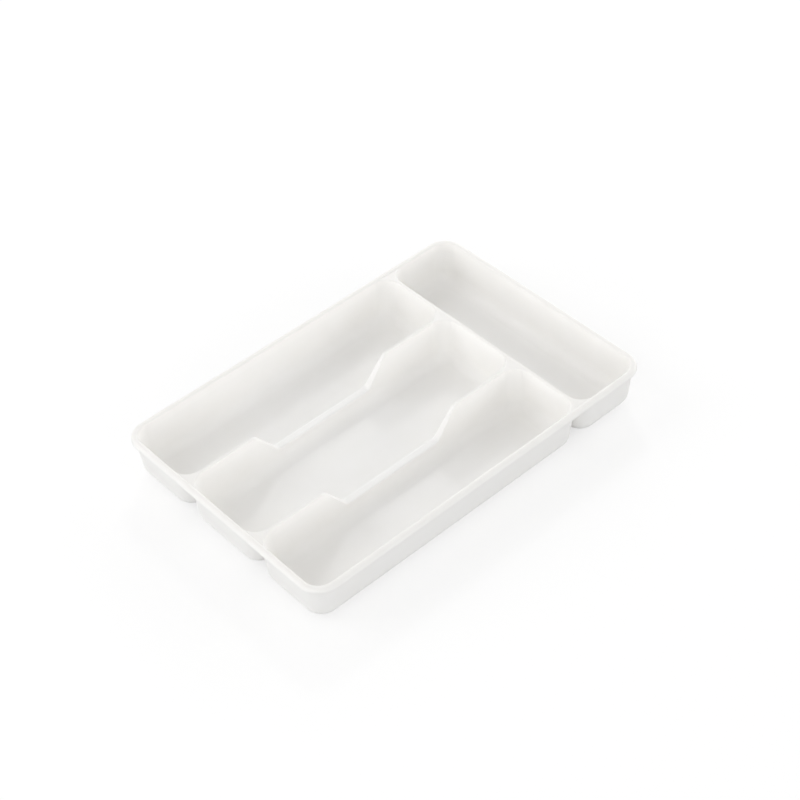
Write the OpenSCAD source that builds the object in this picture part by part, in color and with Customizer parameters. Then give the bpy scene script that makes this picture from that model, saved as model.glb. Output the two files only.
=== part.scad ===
// Cutlery tray for a kitchen drawer: a thin-walled plastic moulding with three long compartments side by
// side, a cross compartment behind them, an upright collar with a rounded lip round the rim, and a finger
// dip in each long divider. The dividers are hollow and open below, where the walls of two compartments
// lean apart.
// Frame: the origin is on the standing surface, in the middle of the footprint; +X right, +Y back, +Z up.

/* [Tray] */
// Width across the lip
tray_w = 174; // [155:1:220]
// Length across the lip, front to back
tray_l = 260; // [240:1:320]
// Height from the standing surface to the crest of the rim
tray_h = 31; // [28:0.5:40]
// Wall thickness, the same all over
wall = 1.5; // [1.2:0.1:1.9]

/* [Rim] */
// Height of the upright collar, from the crest down to the compartments
rim_h = 7.2; // [5:0.2:10]
// Radius of the rounded lip that turns outwards from the crest
lip_r = 2.8; // [2.2:0.1:3.6]
// Corner radius at the outer edge of the lip
corner_r = 14.5; // [13.5:0.5:18]

/* [Compartments] */
// Clear width of the middle compartment at the divider tops
middle_w = 59; // [45:1:70]
// Clear length of the rear compartment, from the collar to the top of the cross divider
rear_l = 48.5; // [40:0.5:65]
// How far the compartment walls are set in from the collar
tub_inset = 0.3; // [0.1:0.1:0.6]
// Lean of the compartment walls from upright, in degrees
draft = 4; // [2:0.5:5.5]
// Outside corner radius of a compartment at its top
tub_r = 13; // [11.5:0.5:14]
// Inside radius between the walls and the floor of a compartment
floor_r = 8; // [4:0.5:9]
// Gap under a divider, at its narrow upper end, between the two walls that it joins
web_gap = 0.2; // [0.1:0.1:1]

/* [Dividers and finger dips] */
// How far the divider tops lie below the rim
ridge_drop = 0.6; // [0.2:0.1:2]
// Distance from the front of the tray to the start of a dip
dip_start = 54; // [42:0.5:62]
// Height of the low, level part of a dip above the standing surface
dip_low = 11.5; // [11:0.5:18]
// Length of the slope at the front of a dip
dip_front_run = 14.4; // [10:0.2:24]
// Length of the low, level part of a dip
dip_flat = 71; // [30:1:90]
// Length of the slope at the back of a dip
dip_back_run = 15; // [10:0.2:24]
// Rounding of the crests at the two ends of a dip
crest_r = 6; // [2:0.5:9]
// Rounding at the foot of the slopes
foot_r = 4; // [1:0.5:6]

/* [Hidden] */
plastic = "whitesmoke";
$fn = 96;

// How far a cutting shape runs past the face that it cuts
past = 1;
// How much wider a rounding arc is than its corner allows, so that it crosses the faces and ends on them
arc_over = 0.002;
// How far the mouth of a compartment reaches past the face that an end web stands against, so that the
// web ends at an angle and has no feather edge
mouth_lap = 0.8;

lean = tan(draft);
tub_top = tray_h - rim_h;
ridge_top = tray_h - ridge_drop;

// Half the width of a divider where it stands on the compartment walls, and at its top. The second sets the
// places of all compartments, so it is kept to a thousandth of a millimetre, and pieces meet exactly.
ridge_half_foot = wall + web_gap / 2;
ridge_half = round(1000 * (ridge_half_foot - (ridge_top - tub_top) * lean)) / 1000;

// Crest of the rim and inside of the collar, and the centre planes of the dividers
crest_x = tray_w / 2 - lip_r;
crest_y = tray_l / 2 - lip_r;
collar_x = crest_x - wall;
collar_y = crest_y - wall;
divider_x = middle_w / 2 + ridge_half;
cross_y = collar_y - rear_l - ridge_half;

// Outside edges of the compartments at the foot of the collar, as [left, right, front, back]
edge_x = crest_x - tub_inset;
edge_y = crest_y - tub_inset;
near = web_gap / 2;
left_tub = [-edge_x, -divider_x - near, -edge_y, cross_y - near];
middle_tub = [-divider_x + near, divider_x - near, -edge_y, cross_y - near];
right_tub = [divider_x + near, edge_x, -edge_y, cross_y - near];
rear_tub = [-edge_x, edge_x, cross_y + near, edge_y];

// Mouths of the compartments at the foot of the collar: up to the dividers, and a little into the collar
mouth_x = collar_x + mouth_lap;
mouth_y = collar_y + mouth_lap;
inner_x = divider_x - ridge_half_foot;
outer_x = divider_x + ridge_half_foot;
front_y = cross_y - ridge_half_foot;
rear_y = cross_y + ridge_half_foot;
left_mouth = [-mouth_x, -outer_x, -mouth_y, front_y];
middle_mouth = [-inner_x, inner_x, -mouth_y, front_y];
right_mouth = [outer_x, mouth_x, -mouth_y, front_y];
rear_mouth = [-mouth_x, mouth_x, rear_y, mouth_y];

// How far the blocks of the dividers run, to the middle of the collar's wall, before the collar is cut away
block_x = crest_x - wall / 2;
block_y = crest_y - wall / 2;

// Front and back of the cross divider, before the mouths shape it
cross_front = front_y - mouth_lap;
cross_back = rear_y + mouth_lap;

mouth_r = tub_r - wall;
web_reach = mouth_r + rim_h * lean + 2 * ridge_half_foot;
web_core = mouth_r / 2;

// Line of a finger dip, front to back
dip_depth = ridge_top - dip_low;
dip_y0 = -tray_l / 2 + dip_start;
dip_y1 = dip_y0 + dip_front_run;
dip_y2 = dip_y1 + dip_flat;
front_slope = atan(dip_depth / dip_front_run);
back_slope = atan(dip_depth / dip_back_run);

// Radius of a compartment's corner at height z, for a radius given at the foot of the collar
function leaned(r, z) = r + (z - tub_top) * lean;

// The bit between a sharp corner p, whose sides run along u and v, and the arc that rounds it. It also runs
// past both sides.
module corner_bit(p, u, v, r) {
    half_turn = acos(u * v) / 2;
    side = r / tan(half_turn);
    centre = p + (u + v) / norm(u + v) * r / sin(half_turn);
    grow = 1 + past / r;
    difference() {
        polygon([for (q = [p, p + u * side, centre, p + v * side]) centre + (q - centre) * grow]);
        translate(centre) circle(r + arc_over);
    }
}

// Sweeps a section round a rectangle with rounded corners. The section's zero lies on the corners' axes.
module swept(edges, r) {
    run_x = edges[1] - edges[0] - 2 * r;
    run_y = edges[3] - edges[2] - 2 * r;
    corners = [
        [edges[1] - r, edges[3] - r, run_y],
        [edges[0] + r, edges[3] - r, run_x],
        [edges[0] + r, edges[2] + r, run_y],
        [edges[1] - r, edges[2] + r, run_x]
    ];
    for (k = [0:3])
        translate([corners[k][0], corners[k][1], 0]) rotate([0, 0, 90 * k]) {
            rotate_extrude(angle = 90) children();
            rotate([90, 0, 0]) linear_extrude(corners[k][2]) children();
        }
}

// Half section of a compartment, solid from the corner axis out to a leaning wall with a rounded foot
module tub_half(r, z0, z1, foot) {
    corner = [leaned(r, z0), z0];
    difference() {
        polygon([[0, z0], corner, [leaned(r, z1), z1], [0, z1]]);
        corner_bit(corner, [-1, 0], [sin(draft), cos(draft)], foot);
    }
}

// Compartment shell: floor, rounded foot and leaning walls of one thickness
module tub(edges) {
    swept(edges, tub_r)
        difference() {
            tub_half(tub_r, 0, tub_top, floor_r + wall);
            tub_half(tub_r - wall, wall, tub_top + past, floor_r);
        }
    translate([edges[0] + tub_r, edges[2] + tub_r, 0])
        cube([edges[1] - edges[0] - 2 * tub_r, edges[3] - edges[2] - 2 * tub_r, wall]);
}

// Section of the rim: an upright collar, rounded over at the crest, with a lip that turns out and down
module rim_section() {
    crest = corner_r - lip_r;
    translate([crest - wall, tub_top]) square([wall, rim_h - wall]);
    intersection() {
        translate([crest, tray_h - wall]) circle(wall);
        translate([crest - wall, tray_h - wall]) square(wall);
    }
    intersection() {
        translate([crest, tray_h - lip_r])
            difference() {
                circle(lip_r);
                circle(lip_r - wall);
            }
        translate([crest, tray_h - lip_r]) square(lip_r);
    }
}

module rim_ring() {
    swept([-tray_w / 2, tray_w / 2, -tray_l / 2, tray_l / 2], corner_r) rim_section();
}

// Open space of a compartment between its dividers and the collar, from below the dips to above the rim:
// four cones at the corners, and two leaning blocks that cross between them
module mouth(edges) {
    z0 = dip_low - wall - past;
    z1 = tray_h + past;
    r0 = leaned(mouth_r, z0);
    r1 = leaned(mouth_r, z1);
    x = [edges[0] + mouth_r, edges[1] - mouth_r];
    y = [edges[2] + mouth_r, edges[3] - mouth_r];
    for (cx = x, cy = y)
        translate([cx, cy, z0]) cylinder(h = z1 - z0, r1 = r0, r2 = r1);
    translate([0, y[1], 0]) rotate([90, 0, 0]) linear_extrude(y[1] - y[0])
        polygon([[x[0] - r0, z0], [x[1] + r0, z0], [x[1] + r1, z1], [x[0] - r1, z1]]);
    translate([x[0], 0, 0]) rotate([90, 0, 90]) linear_extrude(x[1] - x[0])
        polygon([[y[0] - r0, z0], [y[1] + r0, z0], [y[1] + r1, z1], [y[0] - r1, z1]]);
}

// Side view of a finger dip from its low line up to z1, set into the plastic by a distance
module dip_side(inset, z1) {
    low = dip_low - inset;
    y1 = dip_y1 - inset * tan(front_slope / 2);
    y2 = dip_y2 + inset * tan(back_slope / 2);
    y0 = y1 - (z1 - low) / tan(front_slope);
    y3 = y2 + (z1 - low) / tan(back_slope);
    difference() {
        polygon([[y0, z1], [y1, low], [y2, low], [y3, z1]]);
        corner_bit([y1, low], [1, 0], [-cos(front_slope), sin(front_slope)], foot_r + inset);
        corner_bit([y2, low], [-1, 0], [cos(back_slope), sin(back_slope)], foot_r + inset);
    }
}

// The bits that round the two crests of a dip
module dip_crests() {
    dip_y3 = dip_y2 + dip_back_run;
    corner_bit([dip_y0, ridge_top], [-1, 0], [cos(front_slope), -sin(front_slope)], crest_r);
    corner_bit([dip_y3, ridge_top], [1, 0], [-cos(back_slope), -sin(back_slope)], crest_r);
}

// Extrudes a side view, drawn as y and z, to both sides of a centre plane
module across(x, half) {
    translate([x - half, 0, 0]) rotate([90, 0, 90]) linear_extrude(2 * half) children();
}

// Cut in the compartment walls that makes room for the floor of a dip
module dip_seat(x) {
    across(x, web_reach) dip_side(wall, tub_top + past);
}

// Hollow under the web where a divider runs into another wall
module web_hollow(x, y, turn) {
    translate([x, y, tub_top - past]) rotate([0, 0, turn])
        linear_extrude(ridge_top - wall - tub_top + past)
            polygon([[-web_core, -past], [web_core, -past], [web_core, 0], [0, web_core], [-web_core, 0]]);
}

// Long divider: a narrow ridge on the walls of two compartments, with a finger dip and a web at each end
module long_divider(x, mouths) {
    difference() {
        across(x, web_reach)
            difference() {
                union() {
                    translate([-block_y, tub_top]) square([block_y + cross_front, ridge_top - tub_top]);
                    dip_side(wall, tub_top);
                }
                dip_side(0, ridge_top);
                dip_crests();
            }
        for (m = mouths) mouth(m);
        rim_ring();
        web_hollow(x, -collar_y, 0);
        web_hollow(x, cross_front, 180);
    }
}

module rim_collar() {
    color(plastic) rim_ring();
}

module left_compartment() {
    color(plastic)
        difference() {
            tub(left_tub);
            dip_seat(-divider_x);
        }
}

module middle_compartment() {
    color(plastic)
        difference() {
            tub(middle_tub);
            dip_seat(-divider_x);
            dip_seat(divider_x);
        }
}

module right_compartment() {
    color(plastic)
        difference() {
            tub(right_tub);
            dip_seat(divider_x);
        }
}

module rear_compartment() {
    color(plastic) tub(rear_tub);
}

module left_divider() {
    color(plastic) long_divider(-divider_x, [left_mouth, middle_mouth]);
}

module right_divider() {
    color(plastic) long_divider(divider_x, [middle_mouth, right_mouth]);
}

// Divider across the tray, with a web at each end and the long dividers butting against its front
module cross_divider() {
    ridge_z = ridge_top - tub_top;
    color(plastic)
        difference() {
            union() {
                translate([-block_x, cross_front, tub_top])
                    cube([2 * block_x, cross_back - cross_front, ridge_z]);
                for (x = [-block_x, block_x - web_reach])
                    translate([x, cross_y - web_reach, tub_top]) cube([web_reach, 2 * web_reach, ridge_z]);
            }
            for (m = [left_mouth, middle_mouth, right_mouth, rear_mouth]) mouth(m);
            rim_ring();
            web_hollow(-collar_x, cross_y, -90);
            web_hollow(collar_x, cross_y, 90);
        }
}

rim_collar();
left_compartment();
middle_compartment();
right_compartment();
rear_compartment();
left_divider();
right_divider();
cross_divider();
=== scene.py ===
import math

import bmesh
import bpy
from mathutils import Matrix, Vector


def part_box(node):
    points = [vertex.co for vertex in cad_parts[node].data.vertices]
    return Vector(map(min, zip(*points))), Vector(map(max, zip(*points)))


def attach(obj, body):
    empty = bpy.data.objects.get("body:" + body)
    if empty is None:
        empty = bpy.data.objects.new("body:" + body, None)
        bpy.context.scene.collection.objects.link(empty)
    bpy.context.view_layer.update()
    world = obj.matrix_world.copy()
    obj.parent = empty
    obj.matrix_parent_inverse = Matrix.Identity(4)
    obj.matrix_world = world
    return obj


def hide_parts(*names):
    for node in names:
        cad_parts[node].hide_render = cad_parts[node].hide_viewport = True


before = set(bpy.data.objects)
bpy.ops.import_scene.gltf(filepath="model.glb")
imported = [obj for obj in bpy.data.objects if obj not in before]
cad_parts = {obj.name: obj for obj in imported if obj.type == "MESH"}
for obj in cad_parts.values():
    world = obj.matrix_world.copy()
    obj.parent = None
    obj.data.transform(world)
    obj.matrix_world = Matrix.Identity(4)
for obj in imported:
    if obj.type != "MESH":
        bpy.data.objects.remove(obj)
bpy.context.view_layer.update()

bl_info = {
    "name": "Cutlery tray",
    "version": (1, 0, 0),
    "blender": (4, 5, 0),
    "location": "View3D > Sidebar > Tray",
    "description": "Models a moulded plastic cutlery tray on its CAD frame, with its stage and camera",
    "category": "Object",
}

MM = 0.001
BODY = "root"
# Compartments, and the long dividers that they reach: -1 the left one, 1 the right one
COMPARTMENTS = {"left_compartment": (-1,), "middle_compartment": (-1, 1), "right_compartment": (1,),
                "rear_compartment": ()}
# Whether a compartment stands against the collar on its left, right, front and back
COLLAR_SIDES = {"left_compartment": (True, False, True, False),
                "middle_compartment": (False, False, True, False),
                "right_compartment": (False, True, True, False),
                "rear_compartment": (True, True, False, True)}

# Steps of the rounded forms
RIM_STEPS = 24
CREST_STEPS = 8
LIP_STEPS = 14
CORNER_STEPS = 18
PLATE_STEPS = 16
FOOT_STEPS = 10
DIP_STEPS = 6
LIP_EDGE_STEPS = 3
TOP_EDGE_STEPS = 4
SMOOTH_ANGLE = math.radians(32)

# How edges and faces are told apart: the angle of a sharp edge in radians, the upward part of the normal
# of a level face and of a leaning wall, and how near a divider its faces lie, as a share of its distance
# from the middle
SHARP_EDGE = 0.8
LEVEL_FACE = 0.3
LEANING_WALL = (0.02, 0.25)
NEAR_DIVIDER = 0.6

# Small distances, in millimetres
MERGE = 0.0005
SAME_LEVEL = 0.001
# How far a cutter runs past the face that it cuts
PAST = 1.0
# How far a rounded crest runs above the divider top, so that it crosses the top at a clear angle
CROSSING = 0.02
# Rounding of the lip's lower edge
LIP_EDGE = 0.45
# How far the dividers run into the collar, and how far the blocks that clear the collar reach out
INTO_COLLAR = 1.2
CLEAR_OUT = 3.0
# How far a clearing block reaches into a web's curve, so that no sliver stays
CLEAR_LAP = 0.05
# Distance from the cross divider's foot to the seams of the long dividers
SEAM_AHEAD = 0.8

# Fineness of the patterns in the plastic, as waves for each metre
CLOUD_SCALE = 55.0
PATCH_SCALE = 70.0
HAIR_SCALE = 60.0
HAIR_STRETCH = (30.0, 1.0, 8.0)
SATIN_SCALE = 240.0
WAVE_SCALE = 38.0
GRAIN_SCALE = 2600.0
# Roughness: range of the satin, more in the scuffs, less on the rubbed tops
SATIN_ROUGH = (0.5, 0.62)
HAIR_ROUGH = 0.06
RUBBED_SMOOTHER = 0.12
# Height of the scuffs for a full step of roughness, in millimetres
HAIR_HEIGHT = 0.05
# How far down from the divider tops the plastic is polished by rubbing and greyed with painted shade, in
# millimetres
RUB_AND_SHADE_DEPTH = 1.6
PLASTIC_IOR = 1.49

# Lamps round the tray: azimuth from the front and height in degrees, width in metres, power in watts
LAMP_DISTANCE = 1.7
LAMPS = {"lamp_front_right": (30, 4, 1.1, 7.6),
         "lamp_front_left": (335, 4, 1.1, 4.4),
         "lamp_right": (90, 14, 1.1, 3.6),
         "lamp_back_right": (135, 12, 1.1, 4.8),
         "lamp_back": (180, 12, 1.1, 5.5),
         "lamp_back_left": (225, 12, 1.1, 4.2),
         "lamp_front_left_high": (315, 35, 1.1, 5.0),
         "lamp_front_high": (15, 35, 1.1, 2.1),
         "lamp_left_high": (270, 35, 1.1, 1.1),
         "lamp_key": (227, 38, 0.25, 2.6)}
FLOOR_SIZE = 12

# Where the photograph was taken from: angles in degrees, distances in metres from the middle of the top
CAMERA_AZIMUTH = 49.279
CAMERA_ELEVATION = 44.025
CAMERA_ROLL = 2.686
CAMERA_DISTANCE = 1.07455
CAMERA_RIGHT = 0.00732
CAMERA_UP = -0.0016
CAMERA_NEAR = 0.01
SENSOR_WIDTH = 36.0


def rest(node):
    """Lowest and highest corner of a CAD node, in millimetres."""
    low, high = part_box(node)
    return [v / MM for v in low], [v / MM for v in high]


class TraySizes(bpy.types.PropertyGroup):
    """Sizes of the moulding that a user would change."""

    wall: bpy.props.FloatProperty(
        name="Wall", description="Wall thickness of the moulding", default=1.5 * MM, min=0.5 * MM,
        max=4 * MM, unit="LENGTH", precision=4)
    draft: bpy.props.FloatProperty(
        name="Draft", description="Lean of the compartment walls from upright", default=math.radians(4),
        min=0.0, max=math.radians(10), subtype="ANGLE", unit="ROTATION")
    mouth_radius: bpy.props.FloatProperty(
        name="Compartment corner", description="Inside corner radius of a compartment at its top",
        default=10.3 * MM, min=6 * MM, max=20 * MM, unit="LENGTH", precision=4)
    floor_radius: bpy.props.FloatProperty(
        name="Floor radius", description="Inside radius between the walls and the floor", default=8 * MM,
        min=2 * MM, max=9 * MM, unit="LENGTH", precision=4)
    lip_radius: bpy.props.FloatProperty(
        name="Lip radius", description="Radius of the lip that turns out from the crest", default=2.8 * MM,
        min=2 * MM, max=5 * MM, unit="LENGTH", precision=4)
    rim_corner: bpy.props.FloatProperty(
        name="Rim corner", description="Corner radius at the outer edge of the lip", default=14.5 * MM,
        min=8 * MM, max=25 * MM, unit="LENGTH", precision=4)
    web_gap: bpy.props.FloatProperty(
        name="Divider gap", description="Gap between two compartments at the foot of a divider",
        default=0.2 * MM, min=0.0, max=2 * MM, unit="LENGTH", precision=5)
    edge_round: bpy.props.FloatProperty(
        name="Edge rounding", description="Rounding of the divider tops", default=0.95 * MM, min=0.1 * MM,
        max=1 * MM, unit="LENGTH", precision=5)
    dip_front: bpy.props.FloatProperty(
        name="Dip front", description="Where a finger dip starts, front to back", default=-76 * MM,
        unit="LENGTH", precision=4)
    dip_low: bpy.props.FloatProperty(
        name="Dip height", description="Height of the low, level part of a finger dip", default=11.5 * MM,
        min=10 * MM, max=25 * MM, unit="LENGTH", precision=4)
    dip_front_run: bpy.props.FloatProperty(
        name="Dip front slope", description="Length of the slope at the front of a dip", default=14.4 * MM,
        min=5 * MM, max=30 * MM, unit="LENGTH", precision=4)
    dip_flat: bpy.props.FloatProperty(
        name="Dip level part", description="Length of the low, level part of a dip", default=71 * MM,
        min=10 * MM, max=100 * MM, unit="LENGTH", precision=4)
    dip_back_run: bpy.props.FloatProperty(
        name="Dip back slope", description="Length of the slope at the back of a dip", default=15 * MM,
        min=5 * MM, max=30 * MM, unit="LENGTH", precision=4)
    crest_radius: bpy.props.FloatProperty(
        name="Dip crest", description="Rounding of the crests at the ends of a dip", default=6 * MM,
        min=1 * MM, max=9 * MM, unit="LENGTH", precision=4)
    foot_radius: bpy.props.FloatProperty(
        name="Dip foot", description="Rounding at the foot of the slopes of a dip", default=4 * MM,
        min=1 * MM, max=6 * MM, unit="LENGTH", precision=4)


class TrayFinish(bpy.types.PropertyGroup):
    """Colour and surface of the plastic."""

    plastic: bpy.props.FloatVectorProperty(
        name="Plastic", description="Colour of the plastic", default=(0.955, 0.943, 0.92), min=0.0, max=1.0,
        size=3, subtype="COLOR")
    mottle: bpy.props.FloatVectorProperty(
        name="Mottling", description="Colour of the faint clouds in the plastic",
        default=(0.94, 0.927, 0.902), min=0.0, max=1.0, size=3, subtype="COLOR")
    # Painted shade: a greyer colour for the crests and divider tops, which catch more light than the rest of
    # the plastic
    painted_top_shade: bpy.props.FloatVectorProperty(
        name="Rubbed tops", description="Colour of the crests and divider tops where hands and cutlery rub",
        default=(0.905, 0.889, 0.864), min=0.0, max=1.0, size=3, subtype="COLOR")
    depth: bpy.props.FloatProperty(
        name="Light depth", description="How deep light goes into the milky plastic", default=0.3 * MM,
        min=0.0, max=10 * MM, unit="LENGTH", precision=4)
    milkiness: bpy.props.FloatProperty(
        name="Milkiness", description="Share of the light that goes into the plastic", default=0.5, min=0.0,
        max=1.0, subtype="FACTOR")
    grain: bpy.props.FloatProperty(
        name="Grain", description="Height of the fine moulded grain", default=0.012 * MM, min=0.0,
        max=0.1 * MM, unit="LENGTH", precision=6)
    waviness: bpy.props.FloatProperty(
        name="Waviness", description="Height of the slow waves in the thin walls", default=0.05 * MM,
        min=0.0, max=0.5 * MM, unit="LENGTH", precision=6)


class TrayStage(bpy.types.PropertyGroup):
    """Floor, light and camera."""

    floor: bpy.props.FloatVectorProperty(
        name="Floor", description="Colour of the floor", default=(0.55, 0.55, 0.55), min=0.0, max=1.0,
        size=3, subtype="COLOR")
    shade: bpy.props.FloatVectorProperty(
        name="Shadow paint", description="Colour that carries the tray's shadow where the floor is seen",
        default=(0.43, 0.43, 0.43), min=0.0, max=1.0, size=3, subtype="COLOR")
    glow: bpy.props.FloatProperty(
        name="Floor white", description="How far the floor is lifted to white where it is seen", default=0.6,
        min=0.0, max=1.0, subtype="FACTOR")
    shadow_reach: bpy.props.FloatProperty(
        name="Shadow reach", description="Distance from the tray at which the seen floor is plain white",
        default=0.9, min=0.2, max=5.0, unit="LENGTH")
    sky: bpy.props.FloatProperty(
        name="Sky light", description="Strength of the even light from all round", default=0.582,
        min=0.0, max=2.0)
    lamps: bpy.props.FloatProperty(
        name="Lamps", description="Strength of all lamps together", default=1.0, min=0.0, max=3.0)
    lens: bpy.props.FloatProperty(
        name="Lens", description="Focal length of the camera, in millimetres", default=82.418, min=10.0,
        max=300.0, subtype="NONE")


def sizes():
    """Sizes in the panel."""
    return bpy.context.scene.tray_sizes


def deselect():
    """Leaves edit mode and deselects every object."""
    if bpy.context.object and bpy.context.object.mode != "OBJECT":
        bpy.ops.object.mode_set(mode="OBJECT")
    bpy.ops.object.select_all(action="DESELECT")


def activate(piece):
    """Makes a piece the only selected object and the active one."""
    deselect()
    bpy.context.view_layer.objects.active = piece
    piece.select_set(True)


def point(name, where):
    """A new mesh object that holds one vertex, open in edit mode. Places are in millimetres."""
    deselect()
    bpy.ops.mesh.primitive_plane_add(size=MM, location=(0, 0, 0))
    piece = bpy.context.object
    piece.name = name
    piece.data.name = name
    bpy.ops.object.mode_set(mode="EDIT")
    bpy.ops.mesh.select_mode(type="VERT")
    bpy.ops.mesh.select_all(action="SELECT")
    bpy.ops.mesh.merge(type="CENTER")
    bpy.ops.transform.translate(value=Vector(where) * MM)
    return piece


def rounded_plate(name, edges, z, radius, steps):
    """A new piece with one level face, a rectangle with rounded corners. It is open and all selected."""
    left, right, front, back = edges
    deselect()
    bpy.ops.mesh.primitive_plane_add(size=1, location=(0, 0, 0))
    piece = bpy.context.object
    piece.name = piece.data.name = name
    bpy.ops.object.mode_set(mode="EDIT")
    bpy.ops.mesh.select_all(action="SELECT")
    bpy.ops.transform.resize(value=((right - left) * MM, (back - front) * MM, 1))
    bpy.ops.transform.translate(value=Vector(((left + right) / 2, (front + back) / 2, z)) * MM)
    bpy.ops.mesh.bevel(offset=radius * MM, segments=steps, profile=0.5, affect="VERTICES",
                       clamp_overlap=False)
    bpy.ops.mesh.select_all(action="SELECT")
    return piece


def line(by):
    """Extrudes what is selected by a step."""
    bpy.ops.mesh.extrude_region_move(TRANSFORM_OT_translate={"value": Vector(by) * MM})


def arc(centre, axis, angle, steps):
    """Spins what is selected round an axis through a point. A positive angle is counter-clockwise when the
    axis points at the viewer, which the spin tool takes as negative."""
    bpy.ops.mesh.spin(steps=steps, angle=-angle, center=Vector(centre) * MM, axis=axis)


def pick(kind, test):
    """Selects only the vertices, edges or faces of the open mesh that pass a test. One has to pass."""
    piece = bpy.context.object
    bpy.ops.mesh.select_mode(type=kind)
    mesh = bmesh.from_edit_mesh(piece.data)
    for group in (mesh.verts, mesh.edges, mesh.faces):
        for item in group:
            item.select = False
    mesh.select_flush(False)
    items = {"VERT": mesh.verts, "EDGE": mesh.edges, "FACE": mesh.faces}[kind]
    found = [item for item in items if test(item)]
    if not found:
        raise RuntimeError("nothing to select on " + piece.name)
    for item in found:
        item.select_set(True)
    mesh.select_flush_mode()
    bmesh.update_edit_mesh(piece.data)


def at(place):
    """Place of a vertex in millimetres."""
    return place.co.x / MM, place.co.y / MM, place.co.z / MM


def level_edge(edge, z):
    """Whether both ends of an edge lie at a height."""
    return all(abs(at(end)[2] - z) < SAME_LEVEL for end in edge.verts)


def sweep(edges, radius, steps):
    """Carries the selected section round a rectangle with rounded corners, from its right front corner."""
    left, right, front, back = edges
    run_x = right - left - 2 * radius
    run_y = back - front - 2 * radius
    turns = (
        ((0, run_y, 0), (right - radius, back - radius, 0)),
        ((-run_x, 0, 0), (left + radius, back - radius, 0)),
        ((0, -run_y, 0), (left + radius, front + radius, 0)),
        ((run_x, 0, 0), (right - radius, front + radius, 0)),
    )
    for run, centre in turns:
        line(run)
        arc(centre, (0, 0, 1), math.pi / 2, steps)
    bpy.ops.mesh.select_all(action="SELECT")
    bpy.ops.mesh.remove_doubles(threshold=MERGE * MM)


def cap(z):
    """Closes the open loop at a height with one face."""
    pick("EDGE", lambda edge: edge.is_boundary and level_edge(edge, z))
    bpy.ops.mesh.edge_face_add()


def close_mesh():
    """Turns the faces of the open mesh outwards and leaves edit mode."""
    bpy.ops.mesh.select_all(action="SELECT")
    bpy.ops.mesh.normals_make_consistent(inside=False)
    bpy.ops.object.mode_set(mode="OBJECT")


def cut(piece, tool, way="DIFFERENCE"):
    """Cuts a piece with a tool, or joins them, and takes the tool away."""
    activate(piece)
    mod = piece.modifiers.new("cut", "BOOLEAN")
    mod.operation = way
    mod.solver = "EXACT"
    mod.object = tool
    bpy.ops.object.modifier_apply(modifier=mod.name)
    bpy.data.objects.remove(tool, do_unlink=True)


def finish(piece, node):
    """Shades a piece, dresses it in the plastic, and puts it in the place of its CAD node."""
    activate(piece)
    bpy.ops.object.shade_smooth_by_angle(angle=SMOOTH_ANGLE)
    mod = piece.modifiers.new("even", "WEIGHTED_NORMAL")
    mod.keep_sharp = True
    mod.weight = 100
    bpy.ops.object.modifier_apply(modifier=mod.name)
    piece.data.materials.clear()
    piece.data.materials.append(plastic())
    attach(piece, BODY)
    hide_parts(node)


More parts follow.
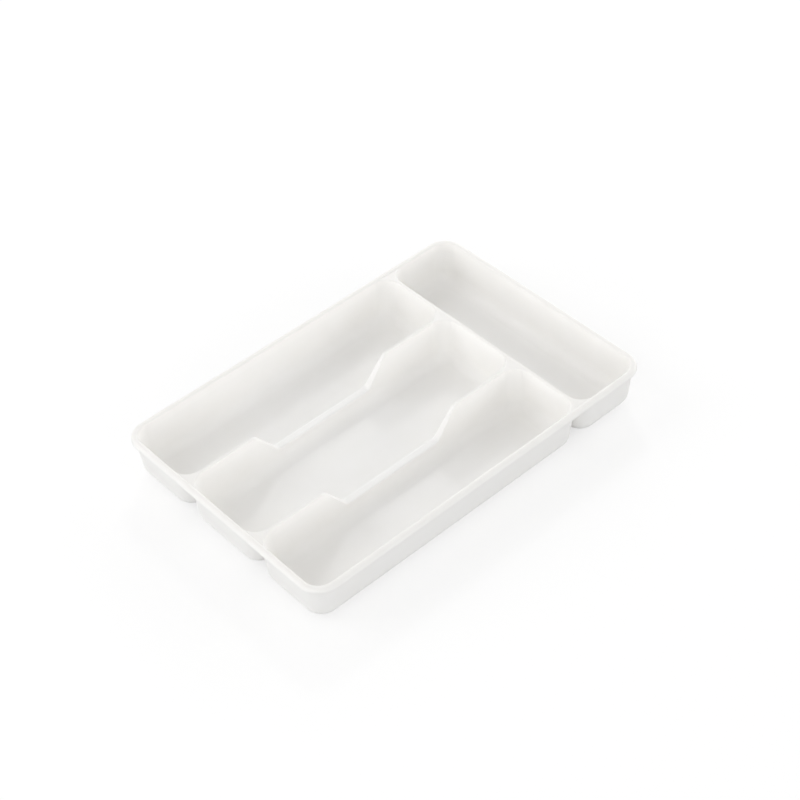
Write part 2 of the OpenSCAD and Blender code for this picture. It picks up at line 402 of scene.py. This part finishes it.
def plastic():
    """White polypropylene: satin and a little milky, faintly clouded, with a fine moulded grain, slow waves
    in the thin walls, hair scuffs along the compartments, and tops polished smoother by rubbing and greyed by
    painted shade."""
    found = bpy.data.materials.get("white_plastic_satin")
    if found:
        return found
    look = bpy.context.scene.tray_finish
    lay = Layout()
    mat = bpy.data.materials.new("white_plastic_satin")
    mat.use_nodes = True
    tree = mat.node_tree
    shader = tree.nodes["Principled BSDF"]
    place = tree.nodes.new("ShaderNodeTexCoord").outputs["Object"]

    def noise(where, scale, detail):
        node = tree.nodes.new("ShaderNodeTexNoise")
        node.inputs["Scale"].default_value = scale
        node.inputs["Detail"].default_value = detail
        tree.links.new(where, node.inputs["Vector"])
        return node.outputs["Fac"]

    def spread(value, low, high, to_low, to_high):
        node = tree.nodes.new("ShaderNodeMapRange")
        for name, number in (("From Min", low), ("From Max", high), ("To Min", to_low), ("To Max", to_high)):
            node.inputs[name].default_value = number
        tree.links.new(value, node.inputs["Value"])
        return node.outputs["Result"]

    def math_node(operation, first, second):
        node = tree.nodes.new("ShaderNodeMath")
        node.operation = operation
        tree.links.new(first, node.inputs[0])
        tree.links.new(second, node.inputs[1])
        return node.outputs[0]

    def bump(height, distance, under=None):
        node = tree.nodes.new("ShaderNodeBump")
        node.inputs["Distance"].default_value = distance
        tree.links.new(height, node.inputs["Height"])
        if under:
            tree.links.new(under, node.inputs["Normal"])
        return node.outputs["Normal"]

    split = tree.nodes.new("ShaderNodeSeparateXYZ")
    tree.links.new(place, split.inputs[0])
    # Mask of the crests and divider tops: it greys them with painted shade, and also lowers their roughness
    # where they are really polished
    high = spread(split.outputs["Z"], (lay.ridge_top - RUB_AND_SHADE_DEPTH) * MM, lay.ridge_top * MM, 0.0, 1.0)
    patches = spread(noise(place, PATCH_SCALE, 4.0), 0.35, 0.65, 0.65, 1.0)
    rub_and_shade_mask = math_node("MULTIPLY", high, patches)

    clouds = tree.nodes.new("ShaderNodeValToRGB")
    clouds.color_ramp.elements[0].position = 0.3
    clouds.color_ramp.elements[0].color = (*look.mottle, 1.0)
    clouds.color_ramp.elements[1].position = 0.7
    clouds.color_ramp.elements[1].color = (*look.plastic, 1.0)
    tree.links.new(noise(place, CLOUD_SCALE, 4.0), clouds.inputs["Fac"])
    # Painted shade: the tops are blended towards the greyer top colour
    tone_with_top_shade = tree.nodes.new("ShaderNodeMix")
    tone_with_top_shade.data_type = "RGBA"
    tone_with_top_shade.inputs["B"].default_value = (*look.painted_top_shade, 1.0)
    tree.links.new(rub_and_shade_mask, tone_with_top_shade.inputs["Factor"])
    tree.links.new(clouds.outputs["Color"], tone_with_top_shade.inputs["A"])
    tree.links.new(tone_with_top_shade.outputs["Result"], shader.inputs["Base Color"])

    along = tree.nodes.new("ShaderNodeMapping")
    along.inputs["Scale"].default_value = HAIR_STRETCH
    tree.links.new(place, along.inputs["Vector"])
    hairs = spread(noise(along.outputs["Vector"], HAIR_SCALE, 3.0), 0.55, 0.75, 0.0, HAIR_ROUGH)
    satin = spread(noise(place, SATIN_SCALE, 3.0), 0.3, 0.7, *SATIN_ROUGH)
    rough = math_node("ADD", satin, hairs)
    polish = spread(rub_and_shade_mask, 0.0, 1.0, 0.0, RUBBED_SMOOTHER)
    tree.links.new(math_node("SUBTRACT", rough, polish), shader.inputs["Roughness"])

    slow = bump(noise(place, WAVE_SCALE, 1.0), look.waviness)
    lines = bump(hairs, HAIR_HEIGHT * MM, slow)
    tree.links.new(bump(noise(place, GRAIN_SCALE, 2.0), look.grain, lines), shader.inputs["Normal"])

    shader.inputs["IOR"].default_value = PLASTIC_IOR
    shader.inputs["Subsurface Weight"].default_value = look.milkiness
    shader.inputs["Subsurface Radius"].default_value = (1.0, 1.0, 1.0)
    shader.inputs["Subsurface Scale"].default_value = look.depth
    return mat


class Layout:
    """Places and sizes of the moulding in millimetres, from the CAD nodes and the sizes in the panel."""

    def __init__(self):
        given = sizes()
        self.wall = given.wall / MM
        self.lean = math.tan(given.draft)
        self.draft = given.draft
        self.floor_r = given.floor_radius / MM
        self.lip_r = given.lip_radius / MM
        self.rim_r = given.rim_corner / MM
        low, high = rest("rim_collar")
        self.rim = [low[0], high[0], low[1], high[1]]
        self.top = high[2]
        self.tub_top = low[2]
        self.collar_x = high[0] - self.lip_r - self.wall
        self.collar_y = high[1] - self.lip_r - self.wall
        self.ridge_top = rest("cross_divider")[1][2]
        half_gap = given.web_gap / MM / 2
        self.ridge_foot = self.wall + half_gap
        low, high = rest("middle_compartment")
        self.divider_x = high[0] + half_gap
        self.cross_y = high[1] + half_gap
        self.mouth_r = given.mouth_radius / MM
        self.edge_round = given.edge_round / MM
        self.dip_low = given.dip_low / MM
        self.dip_depth = self.ridge_top - self.dip_low
        self.dip_y1 = given.dip_front / MM + given.dip_front_run / MM
        self.dip_y2 = self.dip_y1 + given.dip_flat / MM
        self.front_slope = math.atan2(self.dip_depth, given.dip_front_run / MM)
        self.back_slope = math.atan2(self.dip_depth, given.dip_back_run / MM)
        self.crest_r = given.crest_radius / MM
        self.foot_r = given.foot_radius / MM

    def tub(self, node):
        """Outside edges of a compartment at its top."""
        low, high = rest(node)
        return [low[0], high[0], low[1], high[1]]

    def mouth(self, node):
        """Inside edges of a compartment at its top."""
        left, right, front, back = self.tub(node)
        return [left + self.wall, right - self.wall, front + self.wall, back - self.wall]


def dip_line(lay, x, inset, crest):
    """Draws the line of a finger dip from its front end to its back end, set into the plastic by a distance.
    Where crest is a radius, the line starts and ends on the divider top with rounded crests."""
    low = lay.dip_low - inset
    y1 = lay.dip_y1 - inset * math.tan(lay.front_slope / 2)
    y2 = lay.dip_y2 + inset * math.tan(lay.back_slope / 2)
    foot = lay.foot_r + inset
    front, back = lay.front_slope, lay.back_slope
    foot_f = foot * math.tan(front / 2)
    foot_b = foot * math.tan(back / 2)
    if crest:
        crest_f = crest * math.tan(front / 2)
        crest_b = crest * math.tan(back / 2)
        rise = lay.ridge_top + CROSSING - low
        start = (y1 - rise / math.tan(front) - crest_f, low + rise)
        piece = point("dip_line", (x, *start))
        arc((x, start[0], start[1] - crest), (1, 0, 0), -front, DIP_STEPS)
        here = (start[0] + crest * math.sin(front), start[1] - crest + crest * math.cos(front))
    else:
        rise = lay.tub_top + PAST - low
        here = (y1 - rise / math.tan(front), low + rise)
        piece = point("dip_line", (x, *here))
    foot_start = (y1 - foot_f * math.cos(front), low + foot_f * math.sin(front))
    line((0, foot_start[0] - here[0], foot_start[1] - here[1]))
    arc((x, y1 + foot_f, low + foot), (1, 0, 0), front, DIP_STEPS)
    line((0, y2 - foot_b - y1 - foot_f, 0))
    arc((x, y2 - foot_b, low + foot), (1, 0, 0), back, DIP_STEPS)
    here = (y2 + foot_b * math.cos(back), low + foot_b * math.sin(back))
    if crest:
        end = (y2 + rise / math.tan(back) + crest_b, low + rise)
        crest_start = (end[0] - crest * math.sin(back), end[1] - crest + crest * math.cos(back))
        line((0, crest_start[0] - here[0], crest_start[1] - here[1]))
        arc((x, end[0], end[1] - crest), (1, 0, 0), -back, DIP_STEPS)
        line((0, 0, 2 * PAST))
        line((0, start[0] - end[0], 0))
    else:
        end = (y2 + rise / math.tan(back), low + rise)
        line((0, end[0] - here[0], end[1] - here[1]))
    return piece


def dip_solid(lay, x, half, inset, crest):
    """A finger dip as a solid, to both sides of a divider's centre plane."""
    piece = dip_line(lay, x - half, inset, crest)
    bpy.ops.mesh.select_all(action="SELECT")
    bpy.ops.mesh.edge_face_add()
    bpy.ops.mesh.select_all(action="SELECT")
    line((2 * half, 0, 0))
    close_mesh()
    return piece


class TRAY_OT_rim(bpy.types.Operator):
    """Upright collar round the tray, rounded over at its crest, with a lip that turns out and down"""

    bl_idname = "tray.rim"
    bl_label = "Rim"

    def execute(self, context):
        lay = Layout()
        corner = (lay.rim[1] - lay.rim_r, lay.rim[2] + lay.rim_r)
        crest = corner[0] + lay.rim_r - lay.lip_r
        y = corner[1]
        shoulder = lay.top - lay.wall
        lip_z = lay.top - lay.lip_r
        inset = lay.rim[1] - lay.lip_r - lay.tub("rear_compartment")[1]
        piece = point("rim_collar_moulded", (crest - lay.wall - inset, y, lay.tub_top))
        line((inset, 0, shoulder - lay.tub_top))
        arc((crest, y, shoulder), (0, 1, 0), math.pi / 2, CREST_STEPS)
        arc((crest, y, lip_z), (0, 1, 0), math.pi / 2, LIP_STEPS)
        line((-lay.wall, 0, 0))
        arc((crest, y, lip_z), (0, 1, 0), -math.pi / 2, CREST_STEPS)
        line((0, 0, lay.tub_top - shoulder))
        line((-lay.wall - inset, 0, 0))
        bpy.ops.mesh.select_all(action="SELECT")
        bpy.ops.mesh.remove_doubles(threshold=MERGE * MM)
        sweep(lay.rim, lay.rim_r, RIM_STEPS)
        bpy.ops.mesh.normals_make_consistent(inside=False)
        pick("EDGE", lambda edge: level_edge(edge, lip_z) and edge.calc_face_angle(0) > SHARP_EDGE)
        bpy.ops.mesh.bevel(offset=LIP_EDGE * MM, segments=LIP_EDGE_STEPS, profile=0.5, affect="EDGES",
                           clamp_overlap=False)
        close_mesh()
        finish(piece, "rim_collar")
        return {"FINISHED"}


class TRAY_OT_compartments(bpy.types.Operator):
    """Four tubs with leaning walls and rounded feet, cut back where the finger dips are"""

    bl_idname = "tray.compartments"
    bl_label = "Compartments"

    def ring(self, lay, node):
        """Opens a new piece with the inner top edge of a compartment, selected."""
        piece = rounded_plate(node + "_moulded", lay.mouth(node), lay.tub_top, lay.mouth_r, CORNER_STEPS)
        bpy.ops.mesh.delete(type="ONLY_FACE")
        bpy.ops.mesh.select_mode(type="EDGE")
        bpy.ops.mesh.select_all(action="SELECT")
        return piece

    def wall_down(self, lay, node, steps, here):
        """Extrudes the selected ring through a list of levels, each an inset from the compartment's edge and
        a height. It starts at the level here, and leaves the last ring open and selected."""
        left, right, front, back = lay.tub(node)
        centre = Vector(((left + right) / 2, (front + back) / 2, 0)) * MM
        for level in steps:
            scale = [(span - 2 * level[0]) / (span - 2 * here[0]) for span in (right - left, back - front)]
            line((0, 0, level[1] - here[1]))
            bpy.ops.transform.resize(value=(*scale, 1), center_override=centre)
            here = level

    def foot(self, lay, start, radius, floor):
        """Levels of a leaning wall that starts at a level and of the rounded foot below it."""
        drop = start[1] - floor
        turn = math.pi / 2 - lay.draft
        middle = start[0] + drop * lay.lean + radius * math.tan(turn / 2)
        for step in range(FOOT_STEPS + 1):
            angle = lay.draft + turn * step / FOOT_STEPS
            yield middle - radius * math.cos(angle), floor + radius - radius * math.sin(angle)

    def tub(self, lay, node):
        """A compartment from its inner top edge over the inside, then over the top and down the outside."""
        inside, outside = (lay.wall, lay.tub_top), (0.0, lay.tub_top)
        piece = self.ring(lay, node)
        self.wall_down(lay, node, self.foot(lay, inside, lay.floor_r, lay.wall), inside)
        bpy.ops.mesh.edge_face_add()
        pick("EDGE", lambda edge: edge.is_boundary)
        self.wall_down(lay, node, [outside], inside)
        self.wall_down(lay, node, self.foot(lay, outside, lay.floor_r + lay.wall, 0), outside)
        bpy.ops.mesh.edge_face_add()
        close_mesh()
        return piece

    def execute(self, context):
        lay = Layout()
        for node, dips in COMPARTMENTS.items():
            piece = self.tub(lay, node)
            for side in dips:
                cut(piece, dip_solid(lay, side * lay.divider_x, lay.mouth_r, lay.wall, 0))
            finish(piece, node)
        return {"FINISHED"}


class TRAY_OT_dividers(bpy.types.Operator):
    """Two long dividers with finger dips, and the cross divider, with soft tops and hollow webs"""

    bl_idname = "tray.dividers"
    bl_label = "Dividers"

    def slab(self, lay):
        """Level plate inside the collar, from which the mouths of the compartments are cut."""
        x, y = lay.collar_x + INTO_COLLAR, lay.collar_y + INTO_COLLAR
        radius = lay.rim_r - lay.lip_r - lay.wall + INTO_COLLAR
        piece = rounded_plate("divider_frame", [-x, x, -y, y], lay.tub_top, radius, PLATE_STEPS)
        line((0, 0, lay.ridge_top - lay.tub_top))
        close_mesh()
        return piece

    def mouth(self, lay, node):
        """Open space of a compartment from below the dips to above the rim."""
        edges = lay.mouth(node)
        z0, z1 = lay.dip_low - lay.wall - PAST, lay.top + PAST
        r0 = lay.mouth_r + (z0 - lay.tub_top) * lay.lean
        r1 = lay.mouth_r + (z1 - lay.tub_top) * lay.lean
        corner = (edges[1] - lay.mouth_r, edges[2] + lay.mouth_r)
        piece = point("mouth", (corner[0] + r0, corner[1], z0))
        line((r1 - r0, 0, z1 - z0))
        bpy.ops.mesh.select_all(action="SELECT")
        sweep(edges, lay.mouth_r, CORNER_STEPS)
        cap(z0)
        cap(z1)
        close_mesh()
        return piece

    def clearings(self, lay, node):
        """Blocks that clear the plate away along the collar. They end just inside a web's curve."""
        left, right, front, back = lay.mouth(node)
        by_left, by_right, by_front, by_back = COLLAR_SIDES[node]
        run = lay.mouth_r - CLEAR_LAP
        x0 = left - CLEAR_OUT if by_left else left + run
        x1 = right + CLEAR_OUT if by_right else right - run
        y0 = front - CLEAR_OUT if by_front else front + run
        y1 = back + CLEAR_OUT if by_back else back - run
        blocks = ((by_left, x0, left + run, y0, y1), (by_right, right - run, x1, y0, y1),
                  (by_front, x0, x1, y0, front + run), (by_back, x0, x1, back - run, y1))
        for there, low_x, high_x, low_y, high_y in blocks:
            if there:
                low = Vector((low_x, low_y, lay.tub_top - PAST)) * MM
                high = Vector((high_x, high_y, lay.top + PAST)) * MM
                deselect()
                bpy.ops.mesh.primitive_cube_add(size=1, location=(0, 0, 0))
                bpy.ops.object.mode_set(mode="EDIT")
                bpy.ops.mesh.select_all(action="SELECT")
                bpy.ops.transform.resize(value=high - low)
                bpy.ops.transform.translate(value=(low + high) / 2)
                bpy.ops.object.mode_set(mode="OBJECT")
                yield bpy.context.object

    def hollow(self, lay, x, y, turn):
        """Hollow under the web where a divider runs into another wall."""
        core = lay.mouth_r / 2
        outline = ((-core, -PAST), (core, -PAST), (core, 0), (0, core), (-core, 0))
        spin = Matrix.Rotation(math.radians(turn), 2)
        spots = [spin @ Vector(p) + Vector((x, y)) for p in outline]
        z0 = lay.tub_top - PAST
        piece = point("web_hollow", (*spots[0], z0))
        for here, there in zip(spots, spots[1:]):
            line((there.x - here.x, there.y - here.y, 0))
        bpy.ops.mesh.select_all(action="SELECT")
        bpy.ops.mesh.edge_face_add()
        bpy.ops.mesh.select_all(action="SELECT")
        line((0, 0, lay.ridge_top - lay.wall - z0))
        close_mesh()
        return piece

    def soften(self, lay, frame_piece):
        """Rounds the upper edges of the dividers and their dips, but not the edges inside the collar, whose
        side faces stand upright."""
        def upper(edge):
            if len(edge.link_faces) != 2 or edge.calc_face_angle(0) < SHARP_EDGE:
                return False
            wall, top = sorted(face.normal.z for face in edge.link_faces)
            return top > LEVEL_FACE and LEANING_WALL[0] < abs(wall) < LEANING_WALL[1]

        activate(frame_piece)
        bpy.ops.object.mode_set(mode="EDIT")
        pick("EDGE", upper)
        bpy.ops.mesh.bevel(offset=lay.edge_round * MM, segments=TOP_EDGE_STEPS, profile=0.5, affect="EDGES",
                           clamp_overlap=False)
        bpy.ops.object.mode_set(mode="OBJECT")

    def part(self, lay, frame_piece, seam):
        """Parts the frame into its three dividers at the seams in front of the cross divider."""
        activate(frame_piece)
        bpy.ops.object.mode_set(mode="EDIT")
        pick("FACE", lambda face: abs(face.calc_center_median().x / MM) < (1 + NEAR_DIVIDER) * lay.divider_x)
        bpy.ops.mesh.bisect(plane_co=(0, seam * MM, 0), plane_no=(0, 1, 0))
        made = {}
        for node, side in (("left_divider", -1), ("right_divider", 1)):
            middle, reach = side * lay.divider_x, NEAR_DIVIDER * lay.divider_x
            pick("FACE", lambda face: face.calc_center_median().y / MM < seam
                 and abs(face.calc_center_median().x / MM - middle) < reach)
            bpy.ops.mesh.separate(type="SELECTED")
            made[node] = [o for o in bpy.context.selected_objects if o is not frame_piece][0]
            made[node].select_set(False)
        bpy.ops.object.mode_set(mode="OBJECT")
        made["cross_divider"] = frame_piece
        for node, piece in made.items():
            piece.name = piece.data.name = node + "_moulded"
            activate(piece)
            bpy.ops.object.mode_set(mode="EDIT")
            pick("EDGE", lambda edge: edge.is_boundary)
            bpy.ops.mesh.edge_face_add()
            close_mesh()
        return made

    def execute(self, context):
        lay = Layout()
        seam = lay.cross_y - lay.ridge_foot - SEAM_AHEAD
        frame_piece = self.slab(lay)
        for side in (-1, 1):
            cut(frame_piece, dip_solid(lay, side * lay.divider_x, lay.mouth_r - PAST, lay.wall, 0), "UNION")
        for side in (-1, 1):
            cut(frame_piece, dip_solid(lay, side * lay.divider_x, lay.mouth_r, 0, lay.crest_r))
        for node in COMPARTMENTS:
            cut(frame_piece, self.mouth(lay, node))
            for block in self.clearings(lay, node):
                cut(frame_piece, block)
        for side in (-1, 1):
            x = side * lay.divider_x
            cut(frame_piece, self.hollow(lay, x, -lay.collar_y, 0))
            cut(frame_piece, self.hollow(lay, x, seam, 180))
            cut(frame_piece, self.hollow(lay, side * lay.collar_x, lay.cross_y, 90 * side))
        self.soften(lay, frame_piece)
        for node, piece in self.part(lay, frame_piece, seam).items():
            finish(piece, node)
        return {"FINISHED"}


def seen_share(tree, *kinds):
    """1 where a ray is of one of the named kinds, else 0."""
    rays = tree.nodes.new("ShaderNodeLightPath")
    share = rays.outputs[kinds[0]]
    for kind in kinds[1:]:
        either = tree.nodes.new("ShaderNodeMath")
        either.operation = "MAXIMUM"
        tree.links.new(share, either.inputs[0])
        tree.links.new(rays.outputs[kind], either.inputs[1])
        share = either.outputs[0]
    return share


class TRAY_OT_stage(bpy.types.Operator):
    """White floor, soft lamps all round with a small one at the back left, and the photograph's camera"""

    bl_idname = "tray.stage"
    bl_label = "Stage"

    def floor(self, look):
        """Pale floor. Where it is seen it is lifted to white and keeps the tray's shadow. Far off it is plain
        white."""
        deselect()
        bpy.ops.mesh.primitive_plane_add(size=FLOOR_SIZE, location=(0, 0, 0))
        floor = bpy.context.object
        floor.name = floor.data.name = "stage_floor"
        mat = bpy.data.materials.new("stage_floor_white")
        mat.use_nodes = True
        tree = mat.node_tree
        tree.nodes.clear()

        def paint(colour):
            node = tree.nodes.new("ShaderNodeBsdfDiffuse")
            node.inputs["Color"].default_value = (*colour, 1.0)
            return node.outputs[0]

        def shine(strength):
            node = tree.nodes.new("ShaderNodeEmission")
            node.inputs["Color"].default_value = (1, 1, 1, 1)
            node.inputs["Strength"].default_value = strength
            return node.outputs[0]

        def blend(share, first, second):
            node = tree.nodes.new("ShaderNodeMixShader")
            for socket, source in zip(node.inputs, (share, first, second)):
                tree.links.new(source, socket)
            return node.outputs[0]

        near = tree.nodes.new("ShaderNodeAddShader")
        tree.links.new(paint(look.shade), near.inputs[0])
        tree.links.new(shine(look.glow), near.inputs[1])
        reach = tree.nodes.new("ShaderNodeVectorMath")
        reach.operation = "LENGTH"
        tree.links.new(tree.nodes.new("ShaderNodeTexCoord").outputs["Object"], reach.inputs[0])
        far = tree.nodes.new("ShaderNodeMapRange")
        far.interpolation_type = "SMOOTHSTEP"
        far.inputs["From Min"].default_value = look.shadow_reach / 2
        far.inputs["From Max"].default_value = look.shadow_reach
        tree.links.new(reach.outputs["Value"], far.inputs["Value"])
        shown = blend(far.outputs["Result"], near.outputs[0], shine(1.0))
        out = tree.nodes.new("ShaderNodeOutputMaterial")
        seen = seen_share(tree, "Is Camera Ray", "Is Glossy Ray")
        tree.links.new(blend(seen, paint(look.floor), shown), out.inputs["Surface"])
        floor.data.materials.append(mat)

    def sky(self, look):
        """Even light from all round, which is plain white where it is seen or mirrored."""
        world = bpy.data.worlds.new("studio")
        bpy.context.scene.world = world
        world.use_nodes = True
        tree = world.node_tree
        tree.nodes.clear()
        out = tree.nodes.new("ShaderNodeOutputWorld")
        light = tree.nodes.new("ShaderNodeBackground")
        light.inputs["Color"].default_value = (1, 1, 1, 1)
        light.inputs["Strength"].default_value = look.sky
        white = tree.nodes.new("ShaderNodeBackground")
        white.inputs["Color"].default_value = (1, 1, 1, 1)
        white.inputs["Strength"].default_value = 1.0
        mix = tree.nodes.new("ShaderNodeMixShader")
        seen = seen_share(tree, "Is Camera Ray", "Is Glossy Ray", "Is Transmission Ray")
        tree.links.new(seen, mix.inputs["Fac"])
        tree.links.new(light.outputs[0], mix.inputs[1])
        tree.links.new(white.outputs[0], mix.inputs[2])
        tree.links.new(mix.outputs[0], out.inputs["Surface"])

    def lamp(self, name, azimuth, height, size, power):
        """A round soft lamp that faces the tray. Its azimuth counts from the front to the right."""
        turn, rise = math.radians(azimuth), math.radians(height)
        place = LAMP_DISTANCE * Vector((math.sin(turn) * math.cos(rise), -math.cos(turn) * math.cos(rise),
                                        math.sin(rise)))
        data = bpy.data.lights.new(name, "AREA")
        data.shape = "DISK"
        data.size = size
        data.energy = power
        lamp = bpy.data.objects.new(name, data)
        bpy.context.scene.collection.objects.link(lamp)
        lamp.location = place
        lamp.rotation_euler = (-place).to_track_quat("-Z", "Y").to_euler()

    def camera(self, look):
        """Stands where the photograph was taken from, worked out from the lines of the rim and the ridges."""
        azimuth, elevation, roll = (math.radians(v) for v in (CAMERA_AZIMUTH, CAMERA_ELEVATION, CAMERA_ROLL))
        aim = Vector((0, 0, Layout().top * MM))
        back = Vector((math.sin(azimuth) * math.cos(elevation), -math.cos(azimuth) * math.cos(elevation),
                       math.sin(elevation)))
        right = Vector((math.cos(azimuth), math.sin(azimuth), 0))
        up = back.cross(right)
        eye = aim + back * CAMERA_DISTANCE + right * CAMERA_RIGHT + up * CAMERA_UP
        turned_right = right * math.cos(roll) - up * math.sin(roll)
        turned_up = right * math.sin(roll) + up * math.cos(roll)
        data = bpy.data.cameras.new("camera")
        data.sensor_width = SENSOR_WIDTH
        data.lens = look.lens
        data.clip_start = CAMERA_NEAR
        camera = bpy.data.objects.new("camera", data)
        bpy.context.scene.collection.objects.link(camera)
        turn = Matrix((turned_right, turned_up, back)).transposed()
        camera.matrix_world = Matrix.Translation(eye) @ turn.to_4x4()
        bpy.context.scene.camera = camera

    def execute(self, context):
        look = context.scene.tray_stage
        self.floor(look)
        self.sky(look)
        for name, (azimuth, height, size, power) in LAMPS.items():
            self.lamp(name, azimuth, height, size, power * look.lamps)
        self.camera(look)
        context.scene.view_settings.view_transform = "Standard"
        return {"FINISHED"}


class TRAY_PT_panel(bpy.types.Panel):
    """Sizes, finish and steps of the tray"""

    bl_idname = "TRAY_PT_panel"
    bl_label = "Cutlery tray"
    bl_space_type = "VIEW_3D"
    bl_region_type = "UI"
    bl_category = "Tray"

    def draw(self, context):
        scene = context.scene
        groups = {"Sizes": scene.tray_sizes, "Finish": scene.tray_finish, "Stage": scene.tray_stage}
        for title, group in groups.items():
            column = self.layout.column(align=True)
            column.label(text=title)
            for name in group.bl_rna.properties.keys():
                if name not in ("rna_type", "name"):
                    column.prop(group, name)
        column = self.layout.column(align=True)
        for operator in (TRAY_OT_rim, TRAY_OT_compartments, TRAY_OT_dividers, TRAY_OT_stage):
            column.operator(operator.bl_idname)


CLASSES = (TraySizes, TrayFinish, TrayStage, TRAY_OT_rim, TRAY_OT_compartments, TRAY_OT_dividers,
           TRAY_OT_stage, TRAY_PT_panel)


def register():
    for cls in CLASSES:
        bpy.utils.register_class(cls)
    bpy.types.Scene.tray_sizes = bpy.props.PointerProperty(type=TraySizes)
    bpy.types.Scene.tray_finish = bpy.props.PointerProperty(type=TrayFinish)
    bpy.types.Scene.tray_stage = bpy.props.PointerProperty(type=TrayStage)


def unregister():
    del bpy.types.Scene.tray_stage
    del bpy.types.Scene.tray_finish
    del bpy.types.Scene.tray_sizes
    for cls in reversed(CLASSES):
        bpy.utils.unregister_class(cls)


def main():
    register()
    bpy.ops.tray.rim()
    bpy.ops.tray.compartments()
    bpy.ops.tray.dividers()
    bpy.ops.tray.stage()
    deselect()


if __name__ == "__main__":
    main()
